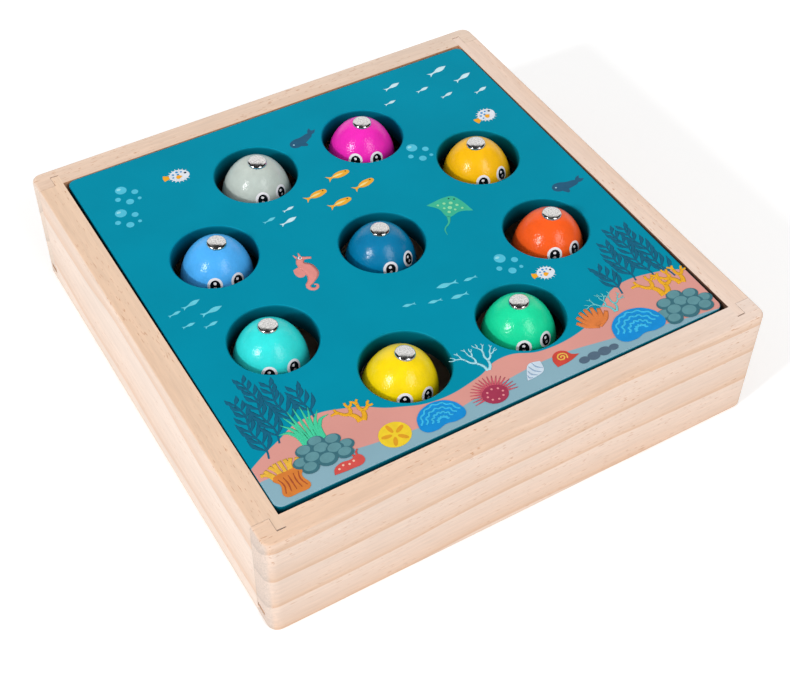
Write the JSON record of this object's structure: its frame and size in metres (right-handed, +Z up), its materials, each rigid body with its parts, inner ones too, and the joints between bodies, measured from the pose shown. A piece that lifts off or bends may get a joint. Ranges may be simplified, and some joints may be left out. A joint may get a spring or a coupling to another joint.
{
  "type": "magnetic fishing game",
  "caption": "Square wooden box with a printed sea board in its top and egg-shaped fish pegs, each with a steel tack, standing in round holes",
  "frame": {"origin": "middle of the box on the plane that it stands on", "axes": "+Z up, +X to the right along the front board, +Y to the back board"},
  "size_m": [0.2, 0.2, 0.0571],
  "materials": {
    "pine": "pale pine boards, sanded and left almost unvarnished, with soft straight grain",
    "bottom_ply": "thin plain brown board",
    "printed_board": "board painted teal all round, with a printed sea bed, fish and corals on top, satin varnish",
    "paint_grey": "turned wood under glossy grey paint, with printed eyes",
    "paint_magenta": "turned wood under glossy magenta paint, with printed eyes",
    "paint_amber": "turned wood under glossy amber paint, with printed eyes",
    "paint_blue": "turned wood under glossy blue paint, with printed eyes",
    "paint_navy": "turned wood under glossy navy paint, with printed eyes",
    "paint_orange": "turned wood under glossy orange paint, with printed eyes",
    "paint_turquoise": "turned wood under glossy turquoise paint, with printed eyes",
    "paint_yellow": "turned wood under glossy yellow paint, with printed eyes",
    "paint_green": "turned wood under glossy green paint, with printed eyes",
    "tack_steel": "domed steel tack, bright nickel plate"
  },
  "bodies": {
    "root": {"front_board": "pine", "back_board": "pine", "left_board": "pine", "right_board": "pine", "front_batten": "pine", "back_batten": "pine", "left_batten": "pine", "right_batten": "pine", "bottom_panel": "bottom_ply", "game_board": "printed_board", "fish_grey": "paint_grey", "fish_magenta": "paint_magenta", "fish_amber": "paint_amber", "fish_blue": "paint_blue", "fish_navy": "paint_navy", "fish_orange": "paint_orange", "fish_turquoise": "paint_turquoise", "fish_yellow": "paint_yellow", "fish_green": "paint_green", "tack_grey": "tack_steel", "tack_magenta": "tack_steel", "tack_amber": "tack_steel", "tack_blue": "tack_steel", "tack_navy": "tack_steel", "tack_orange": "tack_steel", "tack_turquoise": "tack_steel", "tack_yellow": "tack_steel", "tack_green": "tack_steel"}
  },
  "joints": []
}
